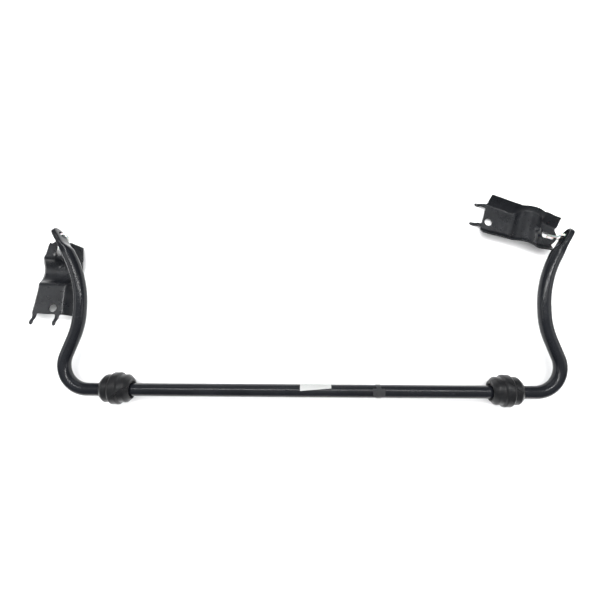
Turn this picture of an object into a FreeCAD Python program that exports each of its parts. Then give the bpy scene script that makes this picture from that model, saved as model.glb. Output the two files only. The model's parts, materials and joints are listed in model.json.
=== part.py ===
import FreeCAD, Part
import math
import os

# Front sway bar with its two bar bushings and its two bushing brackets, as supplied:
# each bracket is tied to the eye at the end of one arm. The brackets are a mirror pair;
# the right one lies on its foot side, the left one on its crown side.
# Frame: millimetres, +X along the bar, +Y from the bar towards the arm ends, +Z up.
# The part lies on the plane z = 0, and the origin is under the middle of the assembly.

Vector = FreeCAD.Vector

# ---------------------------------------------------------------- driving dimensions
bar_d = 25.0                 # spring steel bar
rib_d = 62.0                 # largest diameter of a bushing, which the bar lies on
shoulder_d = 54.0            # seat of the bushing in its bracket
bushing_offset = 2.5         # outer body towards the arms, off the bar's axis
bushing_face_d = 40.0        # flat end of the bushing
bushing_length = 58.0
bushing_chamfer = 8.0
rib_width = 14.0
bushing_x = 376.0            # middle of the bushing from the middle of the bar
liner_wall = 1.0
running_gap = 0.05           # liner on bar, radial
slit_width = 0.8
recess_d = 33.0              # counterbore in the inner end of the bushing
recess_depth = 4.0

corner_radius = 50.0         # bar to arm, on the centre line
corner_x = 434.7             # where the corner starts
toe_in = 20.0                # degrees that the arm leans inwards after the corner
lean_length = 35.0
inner_radius = 150.0         # bend that brings the arm upright again
upright_length = 8.0
sweep_radius = 215.0         # long outward sweep
sweep_turn = 31.0            # degrees
arm_rise = 6.0               # degrees, arms above the floor plane

paddle_thick = 11.0          # flattened arm end
paddle_height = 33.0
transition_length = 26.0
paddle_length = 34.5
neck_start_d = bar_d + 0.1   # just outside the bar's skin
section_points = 32
eye_d = 10.5
eye_from_tip = 16.0

sheet = 3.0                  # bracket steel
bracket_lift = 6.0           # foot plane above the floor
saddle_u = 92.0              # middle of the saddle
saddle_r = 27.3              # inner radius of the saddle
saddle_drop = 7.0            # centre of the saddle below the foot plane
saddle_half = 33.0           # half the width of the saddle, without its flared lips
lip_run = 10.0               # lip, outwards along the saddle's axis
lip_rise = 8.0               # lip, away from the saddle's axis
slot_u = 140.0
slot_length = 29.0
slot_width = 12.0
end_radius = 20.0            # rounded end, about the middle of the slot
square_end_u = 152.0         # full width of the plate up to here
half_width_start = 29.0      # flat part of the plate, at the hooks
half_width_saddle = 25.0
half_width_end = 22.0
flange_end_u = 150.0
flange_run = 17.0
flange_rise = 20.0
hole_d = 16.5
hole_u = 13.0
hole_v = -9.5
hook_v = (26.0, -21.0)
hook_width = 7.5
hook_reach = 24.0
hook_jog = 9.0               # length of the step in a hook
bead_r = 7.5                 # pressed bead from the crown down to the slot plate
bead_top = 32.0              # degrees short of the crown

bracket_right_start = (377.7, 373.0)
bracket_right_turn = -18.5   # degrees from +X
bracket_left_start = (-537.8, 149.0)
bracket_left_turn = 87.5

tie_r = 1.3                  # strap, as a round of the same strength
tie_bend = 2.5               # centre line radius at its corners
tie_gap = 3.0                # from the faces of the plate and the arm to the strap's centre line
tie_right_exit = 0.0         # degrees off the bracket's middle line where the strap rounds its end
tie_left_exit = -40.0
tie_head = (7.0, 5.0, 5.5)

sticker_x = 11.0
sticker_length = 60.0
sticker_turn = 108.0         # degrees round the bar
sticker_thick = 0.3
band_x = 132.0
band_length = 9.0
band_thick = 0.5
tag_length = 23.0
tag_width = 14.0
tag_thick = 1.2

# ---------------------------------------------------------------- worked out
bar_r = bar_d / 2
axis_z = rib_d / 2
X = Vector(1, 0, 0)
Y = Vector(0, 1, 0)
Z = Vector(0, 0, 1)
corner_turn = 90.0 + toe_in
crown_height = saddle_r + sheet + lip_rise - saddle_drop   # of a bracket, from its foot plane
rise = math.radians(arm_rise)
arm_up = Vector(0, -math.sin(rise), math.cos(rise))


def arm_plane(x, y):
    """Point of the arms' plane, which leans back from the bar's axis."""
    return Vector(x, y * math.cos(rise), axis_z + y * math.sin(rise))


def heading(angle):
    """Direction in the arms' plane, at an angle in degrees from the bar."""
    a = math.radians(angle)
    return arm_plane(math.cos(a), math.sin(a)) - arm_plane(0, 0)


def disc(centre, direction, radius):
    """Round face across a direction."""
    return Part.Face(Part.Wire(Part.makeCircle(radius, centre, direction)))


# ---------------------------------------------------------------- bar
class Walk:
    """Round bar laid out step by step along its centre line."""

    def __init__(self, point, angle):
        self.point = point
        self.angle = angle
        self.solids = []

    def straight(self, length):
        """A straight run."""
        step = heading(self.angle)
        self.solids.append(Part.makeCylinder(bar_r, length, self.point, step))
        self.point = self.point + step * length

    def bend(self, radius, turn):
        """A bend; a positive turn goes to the left."""
        side = 90 if turn > 0 else -90
        centre = self.point + heading(self.angle + side) * radius
        spin = arm_up if turn > 0 else arm_up * -1
        face = disc(self.point, heading(self.angle), bar_r)
        self.solids.append(face.revolve(centre, spin, abs(turn)))
        self.angle = self.angle + turn
        self.point = centre + heading(self.angle - side) * radius


def section_wire(centre, ahead, thick, height, corner):
    """Smooth closed section across the arm: corner 2 is an ellipse, and more is squarer."""
    across = ahead.cross(arm_up)
    points = []
    for step in range(section_points):
        a = 2 * math.pi * step / section_points
        c = math.cos(a)
        s = math.sin(a)
        reach = (abs(c) ** corner + abs(s) ** corner) ** (-1.0 / corner)
        points.append(centre + across * (reach * c * thick / 2) + arm_up * (reach * s * height / 2))
    curve = Part.BSplineCurve()
    curve.interpolate(points, PeriodicFlag=True)
    return Part.Wire(curve.toShape())


def forged_sections():
    """(distance, thickness, height, squareness) of the arm end: neck, blade and round tip."""
    sections = []
    for part, corner in ((0.0, 2.0), (0.3, 2.2), (0.6, 2.8), (0.85, 3.8), (1.0, 5.0)):
        ease = part * part * (3 - 2 * part)
        thick = neck_start_d + (paddle_thick - neck_start_d) * ease
        height = neck_start_d + (paddle_height - neck_start_d) * ease
        sections.append((transition_length * part, thick, height, corner))
    half = paddle_height / 2
    round_start = transition_length + paddle_length - half
    sections.append(((transition_length + round_start) / 2, paddle_thick, paddle_height, 5.0))
    for angle in (0, 20, 38, 54, 68, 80):
        a = math.radians(angle)
        thick = paddle_thick * (1 - 0.35 * (angle / 90) ** 3)
        sections.append((round_start + half * math.sin(a), thick, paddle_height * math.cos(a), 5.0))
    return sections


def paddle(walk):
    """Flattened end with its eye, and the run that turns the round bar into it."""
    ahead = heading(walk.angle)
    across = ahead.cross(arm_up)
    start = walk.point - ahead * 0.5
    wires = [section_wire(start + ahead * along, ahead, thick, height, corner)
             for along, thick, height, corner in forged_sections()]
    solid = Part.makeLoft(wires, True)
    eye = start + ahead * (transition_length + paddle_length - eye_from_tip)
    drill = Part.makeCylinder(eye_d / 2, paddle_thick * 3, eye - across * (paddle_thick * 1.5), across)
    return solid.cut(drill), eye, ahead, across


def right_half():
    """Half the bar, from the middle to the right eye."""
    walk = Walk(Vector(0, 0, axis_z), 0.0)
    walk.straight(corner_x)
    walk.bend(corner_radius, corner_turn)
    walk.straight(lean_length)
    walk.bend(inner_radius, -toe_in)
    walk.straight(upright_length)
    walk.bend(sweep_radius, -sweep_turn)
    end, eye, ahead, across = paddle(walk)
    solid = walk.solids[0]
    for piece in walk.solids[1:] + [end]:
        solid = solid.fuse(piece)
    return solid, eye, ahead, across


def mirrored(shape):
    """The same shape on the other side of the middle."""
    return shape.mirror(Vector(0, 0, 0), X)


# ---------------------------------------------------------------- bushing
def around_bar(points, middle):
    """Solid of revolution about the bar, from (along, radius) points."""
    corners = [Vector(middle + along, 0, axis_z + radius) for along, radius in points]
    outline = Part.makePolygon(corners + corners[:1])
    return Part.Face(outline).revolve(Vector(0, 0, axis_z), X, 360)


def slit(middle, angle, low, high):
    """Radial cut that lets a piece be opened and pushed over the bar."""
    block = Part.makeBox(bushing_length + 2, slit_width, high - low)
    block.translate(Vector(middle - bushing_length / 2 - 1, -slit_width / 2, axis_z + low))
    block.rotate(Vector(0, 0, axis_z), X, angle)
    return block


def bushing(side, slit_angle):
    """Rubber barrel with a locating rib round its middle, its body a little off the bar's axis."""
    half = bushing_length / 2
    face_r = bushing_face_d / 2
    seat_r = shoulder_d / 2
    rib = rib_width / 2
    step = 2.5
    middle = side * bushing_x
    points = [
        (-half, 0), (-half, face_r), (-half + bushing_chamfer, seat_r), (-rib - step, seat_r),
        (-rib, rib_d / 2), (rib, rib_d / 2), (rib + step, seat_r), (half - bushing_chamfer, seat_r),
        (half, face_r), (half, 0),
    ]
    barrel = around_bar(points, middle)
    barrel.translate(Vector(0, bushing_offset, 0))
    bore = Vector(middle - half - 1, 0, axis_z)
    barrel = barrel.cut(Part.makeCylinder(bar_r + running_gap + liner_wall, bushing_length + 2, bore, X))
    inner_end = Vector(middle - side * (half + 1), 0, axis_z)
    barrel = barrel.cut(Part.makeCylinder(recess_d / 2, recess_depth + 1, inner_end, X * side))
    return barrel.cut(slit(middle, slit_angle, bar_r - 1, rib_d / 2 + bushing_offset + 1))


def liner(side, slit_angle):
    """Thin low-friction sleeve bonded into the rubber."""
    low = bar_r + running_gap
    high = low + liner_wall
    ends = [-bushing_length / 2 + recess_depth, bushing_length / 2]
    if side < 0:
        ends = [-ends[1], -ends[0]]
    points = [(ends[0], low), (ends[0], high), (ends[1], high), (ends[1], low)]
    middle = side * bushing_x
    return around_bar(points, middle).cut(slit(middle, slit_angle, bar_r - 1, high + 1))


# ---------------------------------------------------------------- bracket
# Its own frame: u along it from the hooks to the slot, v to its left, w up from the foot plane.
def prism(points, height, base=0.0):
    """Upright prism over an outline of (u, v) points."""
    corners = [Vector(u, v, base) for u, v in points]
    return Part.Face(Part.makePolygon(corners + corners[:1])).extrude(Vector(0, 0, height))


def flange(side, u0, half0, u1, half1):
    """Outward leaning edge of a plate, between two stations along it."""
    length = math.hypot(flange_run, flange_rise)
    in_v = -sheet * flange_rise / length
    in_w = sheet * flange_run / length
    wires = []
    for u, half in ((u0, half0), (u1, half1)):
        corners = [
            Vector(u, side * half, 0),
            Vector(u, side * (half + flange_run), flange_rise),
            Vector(u, side * (half + flange_run + in_v), flange_rise + in_w),
            Vector(u, side * (half + in_v), in_w),
        ]
        wires.append(Part.makePolygon(corners + corners[:1]))
    return Part.makeLoft(wires, True, True)


def saddle_hollow():
    """What the saddle holds: a round bar across the bracket."""
    half = saddle_half + 2 * lip_run
    return Part.makeCylinder(saddle_r, 2 * half, Vector(saddle_u, -half, -saddle_drop), Y)


def saddle_shell():
    """Saddle with a flared lip at each end, as a whole ring."""
    slope = math.atan2(lip_rise, lip_run)
    outer = saddle_r + sheet
    lip = saddle_half + lip_run
    corner = saddle_half + sheet * math.tan(slope / 2)
    edge = lip + sheet * math.sin(slope)
    outside = [(-lip, outer + lip_rise), (-saddle_half, outer), (saddle_half, outer), (lip, outer + lip_rise)]
    low = outer + lip_rise - sheet * math.cos(slope)
    inside = [(edge, low), (corner, saddle_r), (-corner, saddle_r), (-edge, low)]
    corners = [Vector(saddle_u, v, radius - saddle_drop) for v, radius in outside + inside]
    outline = Part.makePolygon(corners + corners[:1])
    return Part.Face(outline).revolve(Vector(saddle_u, 0, -saddle_drop), Y, 360)


def bead(radius):
    """Round-ended rib along the saddle, from near the crown down to the slot plate."""
    middle_r = saddle_r + sheet - 2.5
    top = math.radians(bead_top)
    centre = Vector(saddle_u, 0, -saddle_drop)
    start = centre + Vector(math.sin(top), 0, math.cos(top)) * middle_r
    along = Vector(math.cos(top), 0, -math.sin(top))
    run = disc(start, along, radius).revolve(centre, Y, 90 - bead_top)
    return run.fuse(Part.makeSphere(radius, start))


def hook(v):
    """Tab that steps down to the far side of the frame rail it hooks into."""
    half = hook_width / 2
    drop = bracket_lift
    flat = (hook_reach - hook_jog) / 2
    profile = [
        (3, 0), (-flat, 0), (-flat - hook_jog, -drop), (-hook_reach, -drop),
        (-hook_reach, sheet - drop), (-flat - hook_jog + 1, sheet - drop), (-flat + 1, sheet), (3, sheet),
    ]
    corners = [Vector(u, v - half, w) for u, w in profile]
    solid = Part.Face(Part.makePolygon(corners + corners[:1])).extrude(Vector(0, hook_width, 0))
    rounds = []
    for edge in solid.Edges:
        at_end = all(abs(vertex.Point.x + hook_reach) < 0.01 for vertex in edge.Vertexes)
        if at_end and abs(edge.Vertexes[0].Point.z - edge.Vertexes[1].Point.z) > 1:
            rounds.append(edge)
    return solid.makeFillet(hook_width * 0.45, rounds)


def bracket(start, turn, crown_down):
    """Stamped saddle bracket, placed on the floor plane, either way up."""
    saddle_out = saddle_r + sheet
    chord = math.sqrt(saddle_out ** 2 - saddle_drop ** 2)
    u_in = saddle_u - chord + 2
    u_out = saddle_u + chord - 2
    solid = prism([(0, -half_width_start), (u_in, -half_width_saddle), (u_in, half_width_saddle),
                   (0, half_width_start)], sheet)
    solid = solid.fuse(prism([(u_out, -half_width_saddle), (slot_u, -half_width_end),
                              (square_end_u, -half_width_end), (square_end_u, half_width_end),
                              (slot_u, half_width_end), (u_out, half_width_saddle)], sheet))
    solid = solid.fuse(Part.makeCylinder(end_radius, sheet, Vector(slot_u, 0, 0)))
    for side in (-1, 1):
        solid = solid.fuse(flange(side, 2, half_width_start, u_in + 3, half_width_saddle))
        solid = solid.fuse(flange(side, u_out - 3, half_width_saddle, flange_end_u, half_width_end))
    above = Part.makeBox(200, 200, 60, Vector(0, -100, 0))
    solid = solid.fuse(saddle_shell().common(above))
    solid = solid.fuse(bead(bead_r).common(above))
    solid = solid.cut(saddle_hollow())
    solid = solid.cut(bead(bead_r - sheet))
    for v in hook_v:
        solid = solid.fuse(hook(v))
    solid = solid.cut(Part.makeCylinder(hole_d / 2, 4 * sheet, Vector(hole_u, hole_v, -sheet)))
    reach = (slot_length - slot_width) / 2
    slot = Part.makeBox(2 * reach, slot_width, 4 * sheet, Vector(slot_u - reach, -slot_width / 2, -sheet))
    for end in (-reach, reach):
        slot = slot.fuse(Part.makeCylinder(slot_width / 2, 4 * sheet, Vector(slot_u + end, 0, -sheet)))
    solid = solid.cut(slot).removeSplitter()
    lift = bracket_lift
    if crown_down:
        solid = solid.mirror(Vector(0, 0, 0), Z)
        lift = crown_height
    solid.rotate(Vector(0, 0, 0), Z, turn)
    solid.translate(Vector(start[0], start[1], lift))
    return solid


def on_bracket(start, turn, u, v):
    """Plan position of a point of a bracket."""
    a = math.radians(turn)
    return (start[0] + u * math.cos(a) - v * math.sin(a), start[1] + u * math.sin(a) + v * math.cos(a))


# ---------------------------------------------------------------- cable ties
def strand(points):
    """Closed loop of round strap: straight runs joined by tangent arcs."""
    count = len(points)
    pieces = []
    ends = []
    for index, corner in enumerate(points):
        before = (corner - points[index - 1]).normalize()
        after = (points[(index + 1) % count] - corner).normalize()
        half_turn = before.getAngle(after) / 2
        trim = tie_bend * math.tan(half_turn)
        start = corner - before * trim
        axis = before.cross(after).normalize()
        centre = start + axis.cross(before) * tie_bend
        face = disc(start, before, tie_r)
        pieces.append(face.revolve(centre, axis, math.degrees(2 * half_turn)))
        ends.append((start, corner + after * trim))
    for index in range(count):
        here = ends[index - 1][1]
        there = ends[index][0]
        pieces.append(Part.makeCylinder(tie_r, (there - here).Length, here, there - here))
    solid = pieces[0]
    for piece in pieces[1:]:
        solid = solid.fuse(piece)
    return solid


def tie(loop, head_at, head_along):
    """Cable tie: a loop of strap closed by its locking head."""
    length, width, depth = tie_head
    head = Part.makeBox(length, width, depth, Vector(-length / 2, -width / 2, -depth / 2))
    head.rotate(Vector(0, 0, 0), Z, head_along)
    head.translate(head_at)
    return strand(loop).fuse(head)


def tie_loop(eye, outward, start, turn, crown_down, exit_angle):
    """Strap through the eye and the slot, and round the end of the bracket."""
    plate_low = crown_height - sheet if crown_down else bracket_lift
    under = plate_low - tie_gap
    over = plate_low + sheet + tie_gap
    a = math.radians(exit_angle)
    reach = end_radius + tie_gap + 0.5
    slot_x, slot_y = on_bracket(start, turn, slot_u, 0)
    out_x, out_y = on_bracket(start, turn, slot_u + reach * math.cos(a), reach * math.sin(a))
    round_end = [
        Vector(out_x, out_y, over),
        Vector(out_x, out_y, under),
        Vector(slot_x, slot_y, under),
        Vector(slot_x, slot_y, over),
    ]
    if crown_down:
        round_end.reverse()
    side = paddle_thick / 2 + tie_gap + 0.5
    inside = eye - outward * side
    outside = eye + outward * side
    below = eye.z - paddle_height / 2 - tie_gap - 0.5
    near_eye = [inside, outside, Vector(outside.x, outside.y, below)]
    return near_eye + round_end + [Vector(inside.x, inside.y, below)]


# ---------------------------------------------------------------- markings
def wrap(middle, length, thick, turn, lean):
    """Thin curved skin on top of the bar."""
    ring = Part.makeCylinder(bar_r + thick, length, Vector(middle - length / 2, 0, axis_z), X, 360)
    ring = ring.cut(Part.makeCylinder(bar_r, length, Vector(middle - length / 2, 0, axis_z), X, 360))
    if turn >= 360:
        return ring
    far = 3 * bar_d
    half = math.radians(turn / 2)
    wedge = [Vector(0, 0, 0), Vector(0, far * math.sin(half), far * math.cos(half)), Vector(0, 0, far),
             Vector(0, -far * math.sin(half), far * math.cos(half))]
    block = Part.Face(Part.makePolygon(wedge + wedge[:1])).extrude(Vector(length, 0, 0))
    block.translate(Vector(middle - length / 2, 0, axis_z))
    block.rotate(Vector(0, 0, axis_z), X, lean)
    return ring.common(block)


def tag():
    """Small plate held flat on the bar by the band."""
    lean = 8.0
    plate = Part.makeBox(tag_length, tag_width, tag_thick,
                         Vector(band_x - tag_length / 2, -tag_width / 2, axis_z + bar_r + band_thick))
    upright = [edge for edge in plate.Edges if abs(edge.tangentAt(edge.FirstParameter).z) > 0.9]
    plate = plate.makeFillet(2.0, upright)
    plate.rotate(Vector(0, 0, axis_z), X, lean)
    return plate


# ---------------------------------------------------------------- assembly
def build():
    """All the nodes, by name."""
    half, eye, ahead, across = right_half()
    outward = across if across.x > 0 else across * -1
    left_eye = Vector(-eye.x, eye.y, eye.z)
    left_outward = Vector(-outward.x, outward.y, outward.z)
    right_loop = tie_loop(eye, outward, bracket_right_start, bracket_right_turn, False, tie_right_exit)
    left_loop = tie_loop(left_eye, left_outward, bracket_left_start, bracket_left_turn, True, tie_left_exit)
    head_right = (right_loop[2] + right_loop[3]) * 0.5
    head_left = (left_loop[6] + left_loop[7]) * 0.5
    nodes = {
        "sway_bar": half.fuse(mirrored(half)).removeSplitter(),
        "bushing_left": bushing(-1, -35),
        "bushing_right": bushing(1, 25),
        "bushing_liner_left": liner(-1, -35),
        "bushing_liner_right": liner(1, 25),
        "bracket_left": bracket(bracket_left_start, bracket_left_turn, True),
        "bracket_right": bracket(bracket_right_start, bracket_right_turn, False),
        "tie_left": tie(left_loop, head_left, 20),
        "tie_right": tie(right_loop, head_right, 60),
        "label": wrap(sticker_x, sticker_length, sticker_thick, sticker_turn, -58),
        "tag_band": wrap(band_x, band_length, band_thick, 360, 0),
        "tag": tag(),
    }
    return nodes


def middle_below(shapes):
    """Point on the floor plane under the middle of all the shapes."""
    box = FreeCAD.BoundBox()
    for shape in shapes:
        box.add(shape.optimalBoundingBox())
    return Vector(box.Center.x, box.Center.y, 0)


def main():
    os.makedirs("parts", exist_ok=True)
    nodes = build()
    origin = middle_below(nodes.values())
    print("middle of the bar's floor line is at", origin * -1)
    for name, shape in nodes.items():
        shape.translate(origin * -1)
        print(name, "solids", len(shape.Solids), "valid", shape.isValid(), "volume", round(shape.Volume))
        shape.Solids[0].exportStep("parts/" + name + ".step")


main()
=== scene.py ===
import bpy, bmesh, json, math
from mathutils import Matrix, Vector, noise


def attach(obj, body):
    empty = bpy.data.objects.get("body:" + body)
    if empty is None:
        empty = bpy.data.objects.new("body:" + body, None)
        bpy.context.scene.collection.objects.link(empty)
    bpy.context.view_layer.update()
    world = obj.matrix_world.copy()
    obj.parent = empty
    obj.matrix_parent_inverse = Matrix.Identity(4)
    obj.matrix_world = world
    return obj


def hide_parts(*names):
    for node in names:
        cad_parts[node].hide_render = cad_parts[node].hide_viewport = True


# Looks of the sway bar, its bushings, its two tied brackets, its label and its tag.
# Metres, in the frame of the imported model: +X along the bar, +Y to the arm ends, +Z up.
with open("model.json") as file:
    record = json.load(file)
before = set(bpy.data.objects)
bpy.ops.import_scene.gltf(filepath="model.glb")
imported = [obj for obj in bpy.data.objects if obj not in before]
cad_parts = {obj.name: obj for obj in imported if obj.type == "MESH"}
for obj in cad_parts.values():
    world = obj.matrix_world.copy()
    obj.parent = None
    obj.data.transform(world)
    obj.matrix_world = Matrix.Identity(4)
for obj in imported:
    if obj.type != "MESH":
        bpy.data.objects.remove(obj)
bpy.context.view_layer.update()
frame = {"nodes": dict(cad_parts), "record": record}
MM = 0.001
MOUNTS = {mount["name"]: mount for mount in frame["record"]["mounts"]}


def place(name):
    """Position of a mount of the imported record."""
    return Vector(MOUNTS[name]["pos_m"])


BUSHING = {side: place("bushing_%s_seat" % side) for side in ("left", "right")}
BAR = (BUSHING["left"] + BUSHING["right"]) / 2


# ---------------------------------------------------------------- camera and studio
def camera():
    """Looks down from high above, at the angle of the reference view."""
    data = bpy.data.cameras.new("camera")
    data.lens = 23.1
    data.shift_x = -0.01
    obj = bpy.data.objects.new("camera", data)
    bpy.context.scene.collection.objects.link(obj)
    spot = BAR + Vector((0.00235, 0.01700, 0.76778))
    target = BAR + Vector((-0.00879, 0.18014, 0.0))
    right = Vector((0.99989, 0.00666, -0.01309))
    back = (spot - target).normalized()
    up = back.cross(right).normalized()
    right = up.cross(back)
    obj.matrix_world = Matrix.Translation(spot) @ Matrix((right, up, back)).transposed().to_4x4()
    bpy.context.scene.camera = obj


def area_light(name, spot, aim, size, energy, mirrored=True):
    """Soft box that points at a spot, and that shows in reflections or not."""
    data = bpy.data.lights.new(name, "AREA")
    data.shape = "RECTANGLE"
    data.size = size[0]
    data.size_y = size[1]
    data.energy = energy
    obj = bpy.data.objects.new(name, data)
    obj.location = spot
    obj.rotation_euler = (Vector(spot) - Vector(aim)).to_track_quat("Z", "Y").to_euler()
    obj.visible_glossy = mirrored
    bpy.context.scene.collection.objects.link(obj)


# ---------------------------------------------------------------- materials
def set_range(node, low, high, out_low, out_high):
    """Limits of a Map Range node."""
    for key, value in (("From Min", low), ("From Max", high), ("To Min", out_low), ("To Max", out_high)):
        node.inputs[key].default_value = value


class Shader:
    """Small helper that wires a procedural material."""

    def __init__(self, name):
        self.material = bpy.data.materials.new(name)
        self.material.use_nodes = True
        self.tree = self.material.node_tree
        self.surface = self.tree.nodes["Principled BSDF"]
        self.where = self.add("ShaderNodeTexCoord").outputs["Object"]
        self.height = None

    def add(self, kind, **settings):
        node = self.tree.nodes.new(kind)
        for key, value in settings.items():
            setattr(node, key, value)
        return node

    def join(self, source, target):
        self.tree.links.new(source, target)

    def fix(self, **values):
        """Constant values on the shader's own sockets."""
        for key, value in values.items():
            self.surface.inputs[key.replace("_", " ")].default_value = value

    def noise(self, scale, detail=3.0, rough=0.55, stretch=None, shift=0.0):
        source = self.where
        if stretch or shift:
            mapping = self.add("ShaderNodeMapping")
            mapping.inputs["Scale"].default_value = stretch or (1, 1, 1)
            mapping.inputs["Location"].default_value = (shift, shift * 0.7, shift * 1.3)
            self.join(source, mapping.inputs["Vector"])
            source = mapping.outputs["Vector"]
        node = self.add("ShaderNodeTexNoise")
        node.inputs["Scale"].default_value = scale
        node.inputs["Detail"].default_value = detail
        node.inputs["Roughness"].default_value = rough
        self.join(source, node.inputs["Vector"])
        return node.outputs["Fac"]

    def cells(self, scale):
        """Distance to the nearest of scattered points."""
        node = self.add("ShaderNodeTexVoronoi")
        node.inputs["Scale"].default_value = scale
        self.join(self.where, node.inputs["Vector"])
        return node.outputs["Distance"]

    def ramp(self, source, low, high, out_low=0.0, out_high=1.0):
        """Smooth step from low to high."""
        node = self.add("ShaderNodeMapRange", interpolation_type="SMOOTHSTEP")
        self.join(source, node.inputs["Value"])
        set_range(node, low, high, out_low, out_high)
        return node.outputs["Result"]

    def maths(self, operation, first, second):
        node = self.add("ShaderNodeMath", operation=operation)
        for index, value in enumerate((first, second)):
            if isinstance(value, (int, float)):
                node.inputs[index].default_value = value
            else:
                self.join(value, node.inputs[index])
        return node.outputs["Value"]

    def mix(self, factor, first, second):
        """Colour that goes from first to second."""
        node = self.add("ShaderNodeMix", data_type="RGBA")
        self.join(factor, node.inputs["Factor"])
        for key, value in (("A", first), ("B", second)):
            socket = [s for s in node.inputs if s.name == key and s.type == "RGBA"][0]
            if isinstance(value, tuple):
                socket.default_value = (*value, 1)
            else:
                self.join(value, socket)
        return [s for s in node.outputs if s.type == "RGBA"][0]

    def upward(self):
        """1 on faces that look up."""
        split = self.add("ShaderNodeSeparateXYZ")
        self.join(self.add("ShaderNodeNewGeometry").outputs["Normal"], split.inputs["Vector"])
        return self.ramp(split.outputs["Z"], 0.2, 1.0)

    def bump(self, source, depth):
        """Adds relief of a depth in metres."""
        node = self.add("ShaderNodeBump")
        node.inputs["Distance"].default_value = depth
        self.join(source, node.inputs["Height"])
        if self.height:
            self.join(self.height, node.inputs["Normal"])
        self.height = node.outputs["Normal"]

    def done(self, colour, roughness):
        self.join(colour, self.surface.inputs["Base Color"])
        self.join(roughness, self.surface.inputs["Roughness"])
        if self.height:
            self.join(self.height, self.surface.inputs["Normal"])
        return self.material


def bar_paint():
    """Semi-gloss black paint over shot-peened steel, with dust, rubs and small chips."""
    s = Shader("bar_paint")
    cloud = s.noise(14, 4)
    colour = s.mix(s.ramp(cloud, 0.3, 0.7), (0.0040, 0.0046, 0.0062), (0.0070, 0.0078, 0.0100))
    rub = s.ramp(s.noise(60, 5, 0.65, stretch=(0.16, 1, 1)), 0.60, 0.74)
    colour = s.mix(s.maths("MULTIPLY", rub, 0.22), colour, (0.026, 0.028, 0.032))
    dust = s.maths("MULTIPLY", s.ramp(s.noise(420, 6, 0.7), 0.56, 0.78), s.upward())
    colour = s.mix(s.maths("MULTIPLY", dust, 0.10), colour, (0.10, 0.10, 0.096))
    chip = s.ramp(s.cells(260), 0.035, 0.065, 1.0, 0.0)
    chip = s.maths("MULTIPLY", chip, s.ramp(s.noise(9, 2, shift=3.0), 0.60, 0.66))
    colour = s.mix(chip, colour, (0.075, 0.072, 0.068))
    rough = s.ramp(s.noise(38, 4, shift=1.0), 0.25, 0.75, 0.17, 0.26)
    rough = s.maths("ADD", rough, s.maths("MULTIPLY", rub, 0.08))
    s.bump(s.noise(900, 2), 0.00005)
    s.bump(s.noise(190, 3, shift=5.0), 0.00003)
    s.bump(s.maths("SUBTRACT", 1.0, chip), 0.00006)
    s.fix(Specular_IOR_Level=0.27)
    return s.done(colour, rough)


def bracket_paint():
    """Thin satin coating on stamped steel, with draw lines and pale rubbed spots."""
    s = Shader("bracket_paint")
    cloud = s.noise(40, 5)
    colour = s.mix(s.ramp(cloud, 0.3, 0.72), (0.0040, 0.0045, 0.0058), (0.0085, 0.0094, 0.0112))
    dust = s.ramp(s.noise(500, 5, 0.7), 0.55, 0.8)
    dust = s.maths("MULTIPLY", dust, s.upward())
    colour = s.mix(s.maths("MULTIPLY", dust, 0.30), colour, (0.13, 0.13, 0.125))
    rub = s.ramp(s.noise(95, 6, 0.7, stretch=(1, 0.4, 1), shift=2.0), 0.63, 0.72)
    colour = s.mix(s.maths("MULTIPLY", rub, 0.5), colour, (0.060, 0.061, 0.064))
    rough = s.ramp(s.noise(70, 4, shift=4.0), 0.25, 0.75, 0.24, 0.38)
    s.bump(s.noise(1100, 2), 0.00004)
    s.bump(s.noise(120, 4, shift=7.0), 0.00012)
    s.fix(Specular_IOR_Level=0.42)
    return s.done(colour, rough)


def rubber():
    """Moulded rubber: fine mould texture, grey bloom and powder on upward faces."""
    s = Shader("rubber")
    bloom = s.ramp(s.noise(55, 5, 0.65), 0.42, 0.72)
    colour = s.mix(bloom, (0.0040, 0.0042, 0.0048), (0.0110, 0.0114, 0.0122))
    powder = s.maths("MULTIPLY", s.ramp(s.noise(620, 4, 0.7, shift=2.0), 0.58, 0.76), s.upward())
    colour = s.mix(s.maths("MULTIPLY", powder, 0.22), colour, (0.11, 0.108, 0.10))
    rough = s.ramp(s.noise(90, 4, shift=3.0), 0.25, 0.75, 0.30, 0.44)
    s.bump(s.noise(1500, 2), 0.00008)
    s.bump(s.noise(240, 3, shift=6.0), 0.00012)
    s.fix(Specular_IOR_Level=0.28, Sheen_Weight=0.02, Sheen_Roughness=0.5)
    return s.done(colour, rough)


def liner():
    """Dull woven low-friction sleeve."""
    s = Shader("liner")
    weave = s.cells(1400)
    colour = s.mix(s.ramp(weave, 0.1, 0.7), (0.075, 0.070, 0.062), (0.035, 0.033, 0.031))
    s.bump(weave, 0.0002)
    return s.done(colour, s.ramp(s.noise(300), 0.3, 0.7, 0.6, 0.8))


def nylon():
    """Natural nylon: slightly clear and cool white, with the strap's fine teeth along its UV."""
    s = Shader("nylon")
    colour = s.mix(s.ramp(s.noise(160, 3), 0.3, 0.7), (0.66, 0.71, 0.68), (0.76, 0.79, 0.77))
    uv = s.add("ShaderNodeUVMap", uv_map="strap")
    wave = s.add("ShaderNodeTexWave", wave_type="BANDS", bands_direction="X", wave_profile="SAW")
    wave.inputs["Scale"].default_value = 1.0
    s.join(uv.outputs["UV"], wave.inputs["Vector"])
    s.bump(wave.outputs["Fac"], 0.00022)
    s.bump(s.noise(900, 2), 0.00003)
    s.fix(Subsurface_Weight=0.35, Subsurface_Scale=0.0012, Specular_IOR_Level=0.5, IOR=1.52)
    return s.done(colour, s.ramp(s.noise(220), 0.3, 0.7, 0.32, 0.48))


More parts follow.
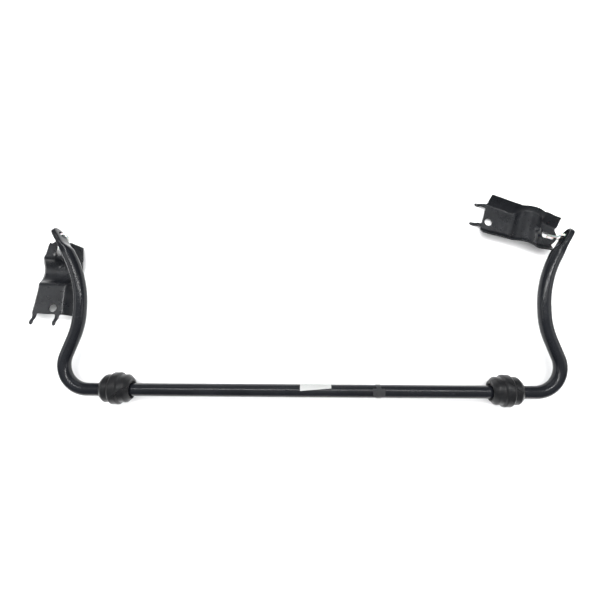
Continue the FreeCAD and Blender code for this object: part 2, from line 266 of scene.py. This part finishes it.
def label_film():
    """Matt white film with faint wrinkles and handling dirt."""
    s = Shader("label_film")
    dirt = s.ramp(s.noise(130, 5, 0.7), 0.56, 0.80)
    colour = s.mix(s.maths("MULTIPLY", dirt, 0.28), (0.34, 0.345, 0.34), (0.23, 0.226, 0.215))
    s.bump(s.noise(150, 4, stretch=(1, 2.5, 2.5)), 0.00035)
    s.bump(s.noise(1300, 2), 0.00003)
    s.fix(Specular_IOR_Level=0.35)
    return s.done(colour, s.ramp(s.noise(200, shift=2.0), 0.3, 0.7, 0.42, 0.58))


def band_plastic():
    """Dark satin moulding with fine grain and pale handling marks."""
    s = Shader("band")
    colour = s.mix(s.ramp(s.noise(120, 4), 0.35, 0.7), (0.010, 0.0108, 0.0122), (0.019, 0.020, 0.022))
    scuff = s.ramp(s.noise(260, 5, 0.7, stretch=(0.3, 1, 1), shift=4.0), 0.6, 0.72)
    colour = s.mix(s.maths("MULTIPLY", scuff, 0.4), colour, (0.050, 0.052, 0.055))
    s.bump(s.noise(1600, 2), 0.00006)
    return s.done(colour, s.ramp(s.noise(140, shift=2.0), 0.3, 0.7, 0.36, 0.52))


def floor_paper():
    """White studio paper, very slightly mottled."""
    s = Shader("floor_paper")
    colour = s.mix(s.ramp(s.noise(6, 4), 0.3, 0.7), (0.86, 0.86, 0.865), (0.88, 0.88, 0.88))
    s.fix(Specular_IOR_Level=0.15)
    return s.done(colour, s.ramp(s.noise(30), 0.3, 0.7, 0.75, 0.85))


# ---------------------------------------------------------------- mesh helpers
def solid_from_rings(name, rings):
    """Closed mesh object through rings of points, one ring after another, capped at both ends."""
    bm = bmesh.new()
    rows = [[bm.verts.new(point) for point in ring] for ring in rings]
    count = len(rows[0])
    for row, following in zip(rows, rows[1:]):
        for i in range(count):
            j = (i + 1) % count
            bm.faces.new((row[i], row[j], following[j], following[i]))
    bm.faces.new(rows[0][::-1])
    bm.faces.new(rows[-1])
    return finish_mesh(name, bm)


def finish_mesh(name, bm, sharp=35.0):
    """Object from a bmesh, its faces turned outwards and its sharp edges kept."""
    bmesh.ops.recalc_face_normals(bm, faces=bm.faces)
    mesh = bpy.data.meshes.new(name)
    bm.to_mesh(mesh)
    bm.free()
    obj = bpy.data.objects.new(name, mesh)
    bpy.context.scene.collection.objects.link(obj)
    smooth(obj, sharp)
    return obj


def smooth(obj, sharp=35.0):
    """Smooth shading, with edges above an angle in degrees kept sharp."""
    obj.data.polygons.foreach_set("use_smooth", [True] * len(obj.data.polygons))
    obj.data.set_sharp_from_angle(angle=math.radians(sharp))


def bake(obj, sharp=35.0):
    """Applies the modifiers of an object."""
    graph = bpy.context.evaluated_depsgraph_get()
    mesh = bpy.data.meshes.new_from_object(obj.evaluated_get(graph))
    obj.modifiers.clear()
    obj.data = mesh
    smooth(obj, sharp)


def finish_piece(obj, body, material, slot, *nodes):
    """Gives a piece its material and body, and lets it stand for CAD nodes; its slot argument is not used."""
    obj.data.materials.clear()
    obj.data.materials.append(material)
    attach(obj, body)
    if nodes:
        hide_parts(*nodes)
    return obj


# ---------------------------------------------------------------- bar
BAR_D = 25 * MM
RISE = math.radians(6.0)
ARM_UP = Vector((0, -math.sin(RISE), math.cos(RISE)))
CORNER_X = 434.7 * MM           # half length of the straight middle
CORNER_RADIUS, CORNER_TURN = 50 * MM, 110
LEAN_LENGTH = 35 * MM           # straight run where the arm leans inwards
UPRIGHT_RADIUS, UPRIGHT_TURN = 150 * MM, -20
UPRIGHT_LENGTH = 8 * MM
SWEEP_RADIUS, SWEEP_TURN = 215 * MM, -31
PADDLE_THICK = 11 * MM
PADDLE_HEIGHT = 33 * MM
BLEND_LENGTH = 26 * MM          # from the round bar to the flat paddle
PADDLE_LENGTH = 34.5 * MM
EYE_FROM_TIP = 16 * MM
EYE_R = 5.25 * MM
CHAMFER_R = 8.4 * MM
ROUND, FLAT = 2.0, 5.0          # exponents of a section's outline, from an ellipse to near a rectangle


def arm_plane(x, y):
    """Point of the arms' plane, which leans back from the bar's axis."""
    return BAR + Vector((x, y * math.cos(RISE), y * math.sin(RISE)))


def heading(angle):
    """Direction in the arms' plane, in degrees from the bar's axis."""
    a = math.radians(angle)
    return arm_plane(math.cos(a), math.sin(a)) - BAR


class Walk:
    """Stations along the bar's centre line: point, direction, thickness, height, squareness."""

    def __init__(self):
        self.point = BAR.copy()
        self.angle = 0.0
        self.stations = []

    def mark(self, thick=BAR_D, height=BAR_D, corner=ROUND):
        self.stations.append((self.point.copy(), heading(self.angle), thick, height, corner))

    def straight(self, length, steps):
        ahead = heading(self.angle)
        for _ in range(steps):
            self.mark()
            self.point = self.point + ahead * (length / steps)

    def bend(self, radius, turn, steps):
        side = 90 if turn > 0 else -90
        centre = self.point + heading(self.angle + side) * radius
        for _ in range(steps):
            self.mark()
            self.angle += turn / steps
            self.point = centre + heading(self.angle - side) * radius

    def paddle(self):
        """Neck that turns flat, blade and round tip."""
        start = self.point.copy()
        ahead = heading(self.angle)
        stations = []
        for step in range(15):
            part = step / 14
            ease = part * part * (3 - 2 * part)
            thick = BAR_D + (PADDLE_THICK - BAR_D) * ease
            height = BAR_D + (PADDLE_HEIGHT - BAR_D) * ease
            stations.append((BLEND_LENGTH * part, thick, height, ROUND + (FLAT - ROUND) * ease * part))
        half = PADDLE_HEIGHT / 2
        round_start = BLEND_LENGTH + PADDLE_LENGTH - half
        stations.append(((BLEND_LENGTH + round_start) / 2, PADDLE_THICK, PADDLE_HEIGHT, FLAT))
        for step in range(19):
            a = math.radians(4.9 * step)
            thick = PADDLE_THICK * (1 - 0.40 * (step / 18) ** 3)
            stations.append((round_start + half * math.sin(a), thick, PADDLE_HEIGHT * math.cos(a), FLAT))
        for along, thick, height, corner in stations:
            self.point = start + ahead * along
            self.mark(thick, height, corner)
        eye = start + ahead * (BLEND_LENGTH + PADDLE_LENGTH - EYE_FROM_TIP)
        return eye, ahead


def section(station, count=56):
    """Ring of points across the arm."""
    centre, ahead, thick, height, corner = station
    across = ahead.cross(ARM_UP)
    ring = []
    for step in range(count):
        a = 2 * math.pi * step / count
        c = math.cos(a)
        s = math.sin(a)
        reach = (abs(c) ** corner + abs(s) ** corner) ** (-1 / corner)
        ring.append(centre + across * (reach * c * thick / 2) + ARM_UP * (reach * s * height / 2))
    return ring


def other_side(point):
    """Mirror image in the bar's middle plane."""
    return Vector((2 * BAR.x - point.x, point.y, point.z))


def turned(name, start, axis, profile, count=48):
    """Closed turned shape from (along, radius) points about an axis."""
    side = axis.orthogonal().normalized()
    up = axis.cross(side).normalized()
    rings = []
    for along, radius in profile:
        ring = []
        for step in range(count):
            a = 2 * math.pi * step / count
            ring.append(start + axis * along + (side * math.cos(a) + up * math.sin(a)) * radius)
        rings.append(ring)
    return solid_from_rings(name, rings)


def subtract(obj, tool):
    """Cuts a tool out of an object, and removes the tool."""
    cut = obj.modifiers.new("cut", "BOOLEAN")
    cut.operation = "DIFFERENCE"
    cut.solver = "EXACT"
    cut.object = tool
    bake(obj)
    bpy.data.objects.remove(tool)


def sway_bar(material):
    """One forging: bar, arms and flattened ends with chamfered eyes."""
    walk = Walk()
    walk.straight(CORNER_X, 40)
    walk.bend(CORNER_RADIUS, CORNER_TURN, 44)
    walk.straight(LEAN_LENGTH, 5)
    walk.bend(UPRIGHT_RADIUS, UPRIGHT_TURN, 14)
    walk.straight(UPRIGHT_LENGTH, 2)
    walk.bend(SWEEP_RADIUS, SWEEP_TURN, 24)
    eye, ahead = walk.paddle()
    half = [section(station) for station in walk.stations]
    rings = [[other_side(point) for point in ring] for ring in half[:0:-1]] + half
    obj = solid_from_rings("bar_forging", rings)
    across = ahead.cross(ARM_UP)
    drill = [(-8 * MM, CHAMFER_R), (-4.8 * MM, EYE_R), (4.8 * MM, EYE_R), (8 * MM, CHAMFER_R)]
    for middle, axis in ((eye, across), (other_side(eye), Vector((-across.x, across.y, across.z)))):
        subtract(obj, turned("drill", middle, axis, drill))
    finish_piece(obj, "bar", material, "bar_paint", "sway_bar")
    return eye, across


# ---------------------------------------------------------------- bushings
BUSHING_OFFSET = 2.5            # mm from the bar's axis to the axis of the barrel
RECESS_R = 16.5                 # mm, radius of the round recess in the inner end
BARREL_R = 19.6                 # mm, radius of the barrel's ends
SLIT_HALF = 0.55                # mm, half width of the slit
SLIT_TWIST = 1.5                # degrees that the slit turns for each mm along the bar


def rounded(points, radii, steps=5):
    """Outline with rounded corners, one radius for each point."""
    count = len(points)
    out = []
    for i, (point, radius) in enumerate(zip(points, radii)):
        corner = Vector(point)
        if not radius:
            out.append(corner)
            continue
        before = Vector(points[i - 1]) - corner
        after = Vector(points[(i + 1) % count]) - corner
        reach = min(radius, before.length * 0.49, after.length * 0.49)
        first = corner + before.normalized() * reach
        last = corner + after.normalized() * reach
        for step in range(steps + 1):
            t = step / steps
            out.append(first * (1 - t) ** 2 + corner * 2 * t * (1 - t) + last * t * t)
    return out


def bushing_outline():
    """(along, radius) outline in mm, from the inner end's recess round to the bore."""
    points = [(-25, 13.55), (-25, RECESS_R), (-29, RECESS_R), (-29, BARREL_R), (-21.2, 27.0), (-9.6, 26.7),
              (-6.6, 31.0), (6.6, 31.0), (9.6, 26.7), (21.2, 27.0), (29, BARREL_R), (29, 13.55)]
    radii = [0.3, 0.6, 0.6, 2.0, 2.4, 0.9, 2.2, 2.2, 0.9, 2.4, 2.0, 0.5]
    return rounded(points, radii)


def bushing(side, slit_angle, material):
    """Rubber barrel with its rib, mould seam and slanting slit; its body sits a little off the bar's axis."""
    middle = BUSHING[side]
    flip = -1 if side == "left" else 1
    steps = 132
    rings = []
    for step in range(steps + 1):
        ring = []
        for along, radius in bushing_outline():
            r = radius * MM
            gap = math.asin(SLIT_HALF * MM / r)
            a = gap + (2 * math.pi - 2 * gap) * step / steps
            turn = math.radians(slit_angle - SLIT_TWIST * along) + a
            seam = 0.22 * MM * max(0, 1 - abs(math.cos(turn)) / 0.035) if radius > BARREL_R + 0.1 else 0
            off = BUSHING_OFFSET * MM * min(1.0, max(0.0, (radius - RECESS_R - 0.1) / 2.5))
            y = off + (r - seam) * math.sin(turn)
            ring.append(middle + Vector((along * MM * flip, y, (r - seam) * math.cos(turn))))
        rings.append(ring)
    obj = solid_from_rings("bushing_%s_barrel" % side, rings)
    soften = obj.modifiers.new("soften", "BEVEL")
    soften.width = 0.25 * MM
    soften.segments = 2
    soften.limit_method = "ANGLE"
    soften.angle_limit = math.radians(60)
    bake(obj, 40)
    return finish_piece(obj, "bushing_%s_unit" % side, material, "rubber", "bushing_" + side)


# ---------------------------------------------------------------- brackets
# Millimetres on the flat foot: u along the bracket, v across it, w up from the foot.
SHEET = 3.0
SADDLE_U, SADDLE_W, SADDLE_OUT, FILLET = 92.0, -7.0, 30.3, 8.0
LIP_RISE = 8.0                  # height of the flanges' edge over the crown
FLANGE_TOP = 20.0 + SHEET
FLANGE_END_U = 152.0
EDGE_GAP = 4.2                  # shift of a flange's edge at the saddle's foot
ROUND_END_R, SQUARE_END_U = 20.0, 152.5
HOLE_U, HOLE_V, HOLE_R = 13.0, -9.5, 8.25
SLOT_U, SLOT_HALF, SLOT_R = 140.0, 8.5, 6.0
BEAD_HEIGHT = 5.2
HOOK_V = (26.0, -21.0)


def smooth_step(value, low, high):
    """0 below low, 1 above high and smooth between them."""
    t = max(0.0, min(1.0, (value - low) / (high - low)))
    return t * t * (3 - 2 * t)


def sheet_profile():
    """Stations along the middle of the stamping, in mm: base point and edge point, both (u, w)."""
    level = SHEET + FILLET
    away = math.sqrt((SADDLE_OUT + FILLET) ** 2 - (level - SADDLE_W) ** 2)
    lean = math.atan2(away, level - SADDLE_W)
    start, end = SADDLE_U - away, SADDLE_U + away
    lip = SADDLE_OUT + LIP_RISE
    lip_lean = math.acos((FLANGE_TOP - SADDLE_W) / lip)
    out = []
    for step in range(26):
        u = start * step / 26
        out.append(((u, SHEET), (u, FLANGE_TOP)))
    for step in range(8):
        a = lean * step / 8
        u = start + FILLET * math.sin(a)
        out.append(((u, level - FILLET * math.cos(a)), (start + 0.6 * step, FLANGE_TOP)))
    for step in range(49):
        a = lean * (1 - 2 * step / 48)
        base = (SADDLE_U - SADDLE_OUT * math.sin(a), SADDLE_W + SADDLE_OUT * math.cos(a))
        if abs(a) < lip_lean:
            edge = (SADDLE_U - lip * math.sin(a), SADDLE_W + lip * math.cos(a))
        else:
            hand = 1 if a > 0 else -1
            t = (lean - abs(a)) / (lean - lip_lean)
            near = start + EDGE_GAP if a > 0 else end - EDGE_GAP
            edge = (near + (SADDLE_U - hand * lip * math.sin(lip_lean) - near) * t, FLANGE_TOP)
        out.append((base, edge))
    for step in range(1, 9):
        a = lean * (1 - step / 8)
        u = end - FILLET * math.sin(a)
        out.append(((u, level - FILLET * math.cos(a)), (end - EDGE_GAP * (1 - step / 8), FLANGE_TOP)))
    for step in range(1, 15):
        u = end + (SLOT_U + ROUND_END_R - end) * step / 14
        out.append(((u, SHEET), (min(u, FLANGE_END_U), FLANGE_TOP)))
    return out, start, end


def soft_edges(values, rounds=10):
    """Evens out a row of points, its ends kept."""
    for _ in range(rounds):
        middle = [(a + 2 * b + c) / 4 for a, b, c in zip(values, values[1:], values[2:])]
        values = [values[0]] + middle + [values[-1]]
    return values


def bead_height(u, v, angle):
    """Pressed bead from near the crown down to the slot's plate."""
    along = smooth_step(angle, 18, 36) * (1 - smooth_step(u, 124, 134))
    return BEAD_HEIGHT * along * (1 - smooth_step(abs(v), 4.0, 8.5))


def half_width(u, arch):
    """Half width of the sheet at the base of its flanges; arch is 1 on the saddle and 0 on the foot."""
    if u < 64:
        foot = 29.0 - 4.0 * u / 64
    else:
        foot = 25.0 - 3.0 * max(0.0, u - 120) / 30
    return foot * (1 - arch) + 32.0 * arch


def plate_end(u, v):
    """Brings u back to the outline of the slot's end, square at its sides and round past the slot."""
    if u <= SLOT_U:
        return u
    across = min(v, ROUND_END_R - 0.2)
    return min(u, max(SQUARE_END_U, SLOT_U + math.sqrt(max(0.0, ROUND_END_R ** 2 - across ** 2))))


def sheet_rows():
    """Outer face of the stamping as rows of (u, v, w) points in mm, across the sheet from edge to edge."""
    stations, start, end = sheet_profile()
    edges = soft_edges([Vector(edge) for _, edge in stations])
    inside = [0.0, 0.1, 0.2, 0.3, 0.42, 0.56, 0.7, 0.84, 1.0]
    outside = [0.12, 0.28, 0.45, 0.62, 0.78, 0.9, 1.0]
    rows = []
    for (base, _), edge in zip(stations, edges):
        u, w = base
        arch = smooth_step(u, start - 4, start + 14) * (1 - smooth_step(u, end - 14, end + 4))
        half = half_width(u, arch)
        rim = 44.0 - 3.0 * smooth_step(u, 0, 64) - 3.5 * smooth_step(u, 118, 150)
        angle = math.degrees(math.atan2(u - SADDLE_U, w - SADDLE_W))
        normal = Vector((u - SADDLE_U, w - SADDLE_W)).normalized() * arch + Vector((0, 1)) * (1 - arch)
        row = []
        for q in inside:
            v = half * q
            lift = bead_height(u, v, angle)
            row.append(Vector((plate_end(u, v) + normal.x * lift, v, w + normal.y * lift)))
        for q in outside:
            point = Vector((u, w)).lerp(edge, q)
            bow = 1.2 * math.sin(math.pi * q)
            u_here = min(point.x, FLANGE_END_U - 4.0 * q) if u > SLOT_U else point.x
            drop = 0.0 if q < 1 else 0.6
            row.append(Vector((u_here, half + (rim - half) * q + bow, point.y - drop)))
        rows.append([Vector((p.x, -p.y, p.z)) for p in row[:0:-1]] + row)
    return rows


def hook_rings(v):
    """Tab that steps down beyond the edge of the plate, as rings of points in mm."""
    line = [(6, 1.5), (-4, 1.5), (-8, 1.2), (-11, -0.6), (-14, -3.2), (-17, -4.4), (-20.5, -4.5), (-23, -4.5),
            (-24, -4.5)]
    widths = [11, 8.6, 7.5, 7.5, 7.5, 7.5, 7.4, 5.6, 3.0]
    rings = []
    for (u, w), wide in zip(line, widths):
        thick = 1.45 if u > -23.5 else 1.1
        rings.append([Vector((u, v - wide / 2, w - thick)), Vector((u, v + wide / 2, w - thick)),
                      Vector((u, v + wide / 2, w + thick)), Vector((u, v - wide / 2, w + thick))])
    return rings


def laid(side):
    """Matrix that lays a bracket in its place, and -1 where it lies on its crown side, else 1."""
    hole = place("bracket_%s_hole" % side)
    slot = place("bracket_%s_slot" % side)
    run = slot - hole
    turn = math.atan2(run.y, run.x) - math.atan2(-HOLE_V, SLOT_U - HOLE_U)
    up = -1 if side == "left" else 1
    lay = Matrix.Rotation(turn, 4, "Z") @ Matrix.Diagonal((1, 1, up, 1))
    foot = slot - lay.to_3x3() @ (Vector((SLOT_U, 0, SHEET / 2)) * MM)
    return Matrix.Translation(foot) @ lay, up


def pressed_sheet(name):
    """The stamping's sheet, thickened downwards from its outer face."""
    bm = bmesh.new()
    grid = [[bm.verts.new(point * MM) for point in row] for row in sheet_rows()]
    for row, following in zip(grid, grid[1:]):
        for i in range(len(row) - 1):
            bm.faces.new((row[i], following[i], following[i + 1], row[i + 1]))
    bmesh.ops.recalc_face_normals(bm, faces=bm.faces)
    top = max(bm.faces, key=lambda face: face.calc_center_median().z)
    if top.normal.z < 0:
        bmesh.ops.reverse_faces(bm, faces=bm.faces)
    mesh = bpy.data.meshes.new("sheet")
    bm.to_mesh(mesh)
    bm.free()
    obj = bpy.data.objects.new(name, mesh)
    bpy.context.scene.collection.objects.link(obj)
    gauge = obj.modifiers.new("gauge", "SOLIDIFY")
    gauge.thickness = SHEET * MM
    gauge.offset = -1
    bake(obj)
    return obj


def add_hooks(obj):
    """Joins the two hooks to the sheet and melts them into one skin."""
    hooks = []
    for v in HOOK_V:
        rings = [[point * MM for point in ring] for ring in hook_rings(v)]
        hooks.append(solid_from_rings("hook", rings))
    bm = bmesh.new()
    for piece in [obj] + hooks:
        bm.from_mesh(piece.data)
    bm.to_mesh(obj.data)
    bm.free()
    for hook in hooks:
        bpy.data.objects.remove(hook)
    skin = obj.modifiers.new("skin", "REMESH")
    skin.mode = "VOXEL"
    skin.voxel_size = 0.75 * MM
    relax = obj.modifiers.new("relax", "SMOOTH")
    relax.factor = 0.5
    relax.iterations = 7
    bake(obj, 180)


def punch(obj):
    """Punches the round hole and the slot through the sheet."""
    depth = 9 * MM
    middle = Vector((HOLE_U, HOLE_V, SHEET / 2)) * MM
    profile = [(-depth, HOLE_R * MM), (depth, HOLE_R * MM)]
    subtract(obj, turned("punch", middle, Vector((0, 0, 1)), profile, 40))
    outline = []
    for step in range(24):
        a = 2 * math.pi * (step + 0.5) / 24
        end = SLOT_HALF if math.cos(a) > 0 else -SLOT_HALF
        outline.append(Vector((SLOT_U + end + SLOT_R * math.cos(a), SLOT_R * math.sin(a), 0)) * MM)
    deep = Vector((0, 0, depth))
    subtract(obj, solid_from_rings("punch", [[p - deep for p in outline], [p + deep for p in outline]]))


def bracket(side, material):
    """Stamping: a pressed sheet with two hooks, one punched hole and one slot."""
    lay, up = laid(side)
    obj = pressed_sheet("bracket_%s_stamping" % side)
    add_hooks(obj)
    punch(obj)
    obj.data.transform(lay)
    if up < 0:
        obj.data.flip_normals()
    smooth(obj, 50)
    return finish_piece(obj, "bracket_%s_unit" % side, material, "bracket_paint", "bracket_" + side)


# ---------------------------------------------------------------- ties
STRAP_WIDTH, STRAP_THICK = 4.0 * MM, 1.1 * MM
STRAP_OUTLINE = ((-1, -0.55), (-0.8, -1), (0.8, -1), (1, -0.55), (1, 0.55), (0.8, 1), (-0.8, 1), (-1, 0.55))
TOOTH = 1.6                     # mm of strap for each wave of its texture
# For each side: the bracket's turn, the hand of the eye's axis, and the strap's turn past the bracket's end.
TIE = {"left": (87.5, -1, -40.0), "right": (-18.5, 1, 0.0)}
END_REACH = 23.5 * MM           # from the slot to beyond the bracket's end
OVER = Vector((0, 0, 4.2 * MM))
BELOW = Vector((0, 0, -20.0 * MM))


def smooth_loop(points, rounds=4):
    """Corner-cut closed loop."""
    for _ in range(rounds):
        out = []
        for i, point in enumerate(points):
            following = points[(i + 1) % len(points)]
            out += [point * 0.78 + following * 0.22, point * 0.22 + following * 0.78]
        points = out
    return points


def tie_route(side, eye, across):
    """Loop of the strap: through the eye, and through the slot round the bracket's end."""
    slot = place("bracket_%s_slot" % side)
    turn, hand, exit_angle = TIE[side]
    if side == "left":
        eye = other_side(eye)
        across = Vector((-across.x, across.y, across.z))
    outward = across if across.x * hand > 0 else -across
    a = math.radians(turn + exit_angle)
    end = slot + Vector((math.cos(a), math.sin(a), 0)) * END_REACH
    inside = eye - outward * 9 * MM
    outside = eye + outward * 9 * MM
    ring = [end + OVER, end - OVER, slot - OVER, slot + OVER]
    if side == "left":
        ring.reverse()
    return [inside, outside, outside + BELOW] + ring + [inside + BELOW]


def strap(name, points, width, thick):
    """Flat strap along a closed loop, with a UV that counts its teeth."""
    middle = sum(points, Vector()) / len(points)
    count = len(points)
    bm = bmesh.new()
    layer = bm.loops.layers.uv.new("strap")
    rows = []
    sums = [0.0]
    for i, point in enumerate(points):
        ahead = (points[(i + 1) % count] - points[i - 1]).normalized()
        out = (point - middle)
        out = (out - ahead * out.dot(ahead)).normalized()
        wide = ahead.cross(out)
        corners = []
        for u, v in STRAP_OUTLINE:
            corners.append(bm.verts.new(point + wide * (u * width / 2) + out * (v * thick / 2)))
        rows.append(corners)
        sums.append(sums[-1] + (points[(i + 1) % count] - point).length)
    for i in range(count):
        row, following = rows[i], rows[(i + 1) % count]
        for k in range(8):
            m = (k + 1) % 8
            face = bm.faces.new((row[k], row[m], following[m], following[k]))
            for loop, (along, across) in zip(face.loops, ((i, k), (i, k + 1), (i + 1, k + 1), (i + 1, k))):
                loop[layer].uv = (sums[along] / MM / TOOTH, across / 8)
    return finish_mesh(name, bm, 50)


def tie_head(name, centre, ahead, out):
    """Locking head: block with a window for the strap, and the strap's cut tail."""
    wide = ahead.cross(out).normalized()
    bm = bmesh.new()
    bmesh.ops.create_cube(bm, size=1.0)
    spin = Matrix((ahead, wide, out)).transposed().to_4x4()
    grow = Matrix.Diagonal((6.4 * MM, 6.6 * MM, 4.6 * MM, 1))
    for side in (1, -1):
        face = max(bm.faces, key=lambda f: f.calc_center_median().z * side)
        bmesh.ops.inset_region(bm, faces=[face], thickness=0.2, use_even_offset=True)
        bmesh.ops.translate(bm, verts=face.verts, vec=(0, 0, -0.18 * side))
    tail = bmesh.ops.create_cube(bm, size=1.0)["verts"]
    bmesh.ops.scale(bm, verts=tail, vec=(0.20, 0.66, 1.5))
    bmesh.ops.translate(bm, verts=tail, vec=(0.04, 0, 0.75))
    bmesh.ops.transform(bm, matrix=Matrix.Translation(centre) @ spin @ grow, verts=bm.verts)
    obj = finish_mesh(name, bm)
    edge = obj.modifiers.new("edge", "BEVEL")
    edge.width = 0.35 * MM
    edge.segments = 2
    bake(obj, 40)
    return obj


def cable_tie(side, eye, across, material):
    """Strap and head as one moulding."""
    route = tie_route(side, eye, across)
    band = strap("tie_%s_strap" % side, smooth_loop(route), STRAP_WIDTH, STRAP_THICK)
    finish_piece(band, "bar", material, "nylon", "tie_" + side)
    first, last = (route[2], route[3]) if side == "right" else (route[6], route[7])
    middle = (first + last) / 2
    ahead = (last - first).normalized()
    out = middle - sum(route, Vector()) / len(route)
    out = (out - ahead * out.dot(ahead)).normalized()
    head = tie_head("tie_%s_head" % side, middle - out * 1.0 * MM, ahead, out)
    finish_piece(head, "bar", material, "nylon")


# ---------------------------------------------------------------- label, band and tag
LABEL_X, LABEL_LENGTH = 11.0, 60.0      # mm, middle of the label along the bar, and its length
TAG_X = 132.0                           # mm, middle of the tag and of its band along the bar
TAG_SIZE = 23 * MM, 14 * MM, 1.2 * MM
TAG_LEAN = 8                            # degrees


def around(along, radius, degrees):
    """Point by the bar; 0 is the top and 90 is the side of the arms."""
    a = math.radians(degrees)
    return BAR + Vector((along, radius * math.sin(a), radius * math.cos(a)))


def label(material):
    """White film pressed round the far side of the bar, with slack edges."""
    long_steps, round_steps = 60, 40
    outer, inner = [], []
    for i in range(long_steps + 1):
        row, back = [], []
        for j in range(round_steps + 1):
            u = i / long_steps
            v = j / round_steps
            skew = 24.0 * u - 5.0
            degrees = 4.0 + 104.0 * v + skew * (1 - v)
            along = (LABEL_X - LABEL_LENGTH / 2 + LABEL_LENGTH * u) * MM
            wave = noise.noise(Vector((u * 7, v * 3, 1.7))) * 0.10
            wave += noise.noise(Vector((u * 2, v * 9, 4.2))) * 0.06
            edge = min(u, 1 - u, v, 1 - v)
            corner = max(0.0, 1 - math.hypot(u, v) / 0.16) ** 2 * 0.55
            lift = 0.20 + max(0.0, 0.09 + wave) * min(1.0, edge * 12 + 0.25) + corner
            row.append(around(along, BAR_D / 2 + lift * MM, degrees))
            back.append(around(along, BAR_D / 2 + (0.03 + corner * 0.9) * MM, degrees))
        outer.append(row)
        inner.append(back[::-1])
    rings = [a + b for a, b in zip(outer, inner)]
    obj = solid_from_rings("label_film_piece", rings)
    return finish_piece(obj, "bar", material, "label_film", "label")


def tag_band(material):
    """Strap round the bar whose end laps over its start."""
    steps = 150
    rings = []
    for step in range(steps + 1):
        t = step / steps
        degrees = 200 + 392 * t
        lap = 0.45 * max(0.0, min(1.0, (t - 0.86) / 0.06))
        ring = []
        for along, radius in ((-4.5, 0.02), (-4.5, 0.42), (-4.1, 0.5), (4.1, 0.5), (4.5, 0.42), (4.5, 0.02)):
            ring.append(around((TAG_X + along) * MM, BAR_D / 2 + (radius + lap) * MM, degrees))
        rings.append(ring)
    obj = solid_from_rings("tag_band_strap", rings)
    return finish_piece(obj, "bar", material, "band", "tag_band")


def tag(material):
    """Small moulded plate with a raised border and two round pips."""
    length, width, thick = TAG_SIZE
    corner = 2.0 * MM
    outline = []
    for cx, cy, first in ((1, 1, 0), (-1, 1, 90), (-1, -1, 180), (1, -1, 270)):
        for step in range(7):
            a = math.radians(first + 15 * step)
            outline.append((cx * (length / 2 - corner) + corner * math.cos(a),
                            cy * (width / 2 - corner) + corner * math.sin(a)))
    spin = Matrix.Rotation(math.radians(TAG_LEAN), 4, "X")
    base = Vector((TAG_X * MM, 0, BAR_D / 2 + 0.5 * MM))

    def level(shrink, height):
        """Outline of the plate, drawn in by a shrink, at a height."""
        ring = []
        for x, y in outline:
            local = base + Vector((x * (1 - 2 * shrink / length), y * (1 - 2 * shrink / width), height))
            ring.append(BAR + spin @ local)
        return ring

    rings = [level(0, 0), level(0, thick * 0.8), level(0.3 * MM, thick), level(1.1 * MM, thick),
             level(1.4 * MM, thick * 0.7), level(4.5 * MM, thick * 0.7)]
    obj = solid_from_rings("tag_plate", rings)
    finish_piece(obj, "bar", material, "band", "tag")
    for number, x in enumerate((-7.2, 7.2)):
        spot = BAR + spin @ (base + Vector((x * MM, 0, thick * 0.6)))
        axis = (spin @ Vector((0, 0, 1))).normalized()
        profile = [(0, 1.5 * MM), (0.35 * MM, 1.4 * MM), (0.5 * MM, 1.1 * MM), (0.52 * MM, 0.4 * MM)]
        pip = turned("tag_pip_%d" % (number + 1), spot, axis, profile, 24)
        finish_piece(pip, "bar", material, "band")


# ---------------------------------------------------------------- scene
def floor():
    """Plain floor, wide enough for every view."""
    mesh = bpy.data.meshes.new("floor")
    mesh.from_pydata([(-8, -8, 0), (8, -8, 0), (8, 8, 0), (-8, 8, 0)], [], [(0, 1, 2, 3)])
    obj = bpy.data.objects.new("floor", mesh)
    bpy.context.scene.collection.objects.link(obj)
    mesh.materials.append(floor_paper())
    return obj


def sky():
    """Soft white surround, brightest straight up."""
    world = bpy.data.worlds.new("studio")
    bpy.context.scene.world = world
    world.use_nodes = True
    tree = world.node_tree
    where = tree.nodes.new("ShaderNodeTexCoord")
    split = tree.nodes.new("ShaderNodeSeparateXYZ")
    ramp = tree.nodes.new("ShaderNodeMapRange")
    ramp.interpolation_type = "SMOOTHSTEP"
    set_range(ramp, 0.55, 0.97, 0.26, 0.62)
    tree.links.new(where.outputs["Generated"], split.inputs["Vector"])
    tree.links.new(split.outputs["Z"], ramp.inputs["Value"])
    tree.links.new(ramp.outputs["Result"], tree.nodes["Background"].inputs["Strength"])
    tree.nodes["Background"].inputs["Color"].default_value = (0.96, 0.98, 1.0, 1)


camera()
bpy.context.scene.view_settings.view_transform = "Standard"

BLACK = bar_paint()
STAMPED = bracket_paint()
RUBBER = rubber()
LINER = liner()
NYLON = nylon()
FILM = label_film()
BAND = band_plastic()

EYE, ACROSS = sway_bar(BLACK)
for SIDE, SLIT in (("left", -35), ("right", 25)):
    bushing(SIDE, SLIT, RUBBER)
    bracket(SIDE, STAMPED)
    cable_tie(SIDE, EYE, ACROSS, NYLON)
    SLEEVE = frame["nodes"]["bushing_liner_" + SIDE]
    SLEEVE.data.materials.clear()
    SLEEVE.data.materials.append(LINER)
label(FILM)
tag_band(BAND)
tag(BAND)

FLOOR = floor()
sky()
area_light("key", (0.0, 0.42, 2.0), (0.0, -0.19, 0), (2.6, 0.07), 32)
area_light("fill", (0.0, -0.1, 2.2), (0.0, 0.0, 0), (3.6, 3.6), 118, mirrored=False)
area_light("back", (-0.4, 2.3, 1.3), (0, 0.1, 0), (2.0, 0.8), 6)
area_light("left", (-2.1, 0.1, 1.2), (0, 0.0, 0), (0.8, 1.2), 6)
area_light("right", (2.1, 0.0, 1.2), (0, 0.0, 0), (0.8, 1.2), 6)
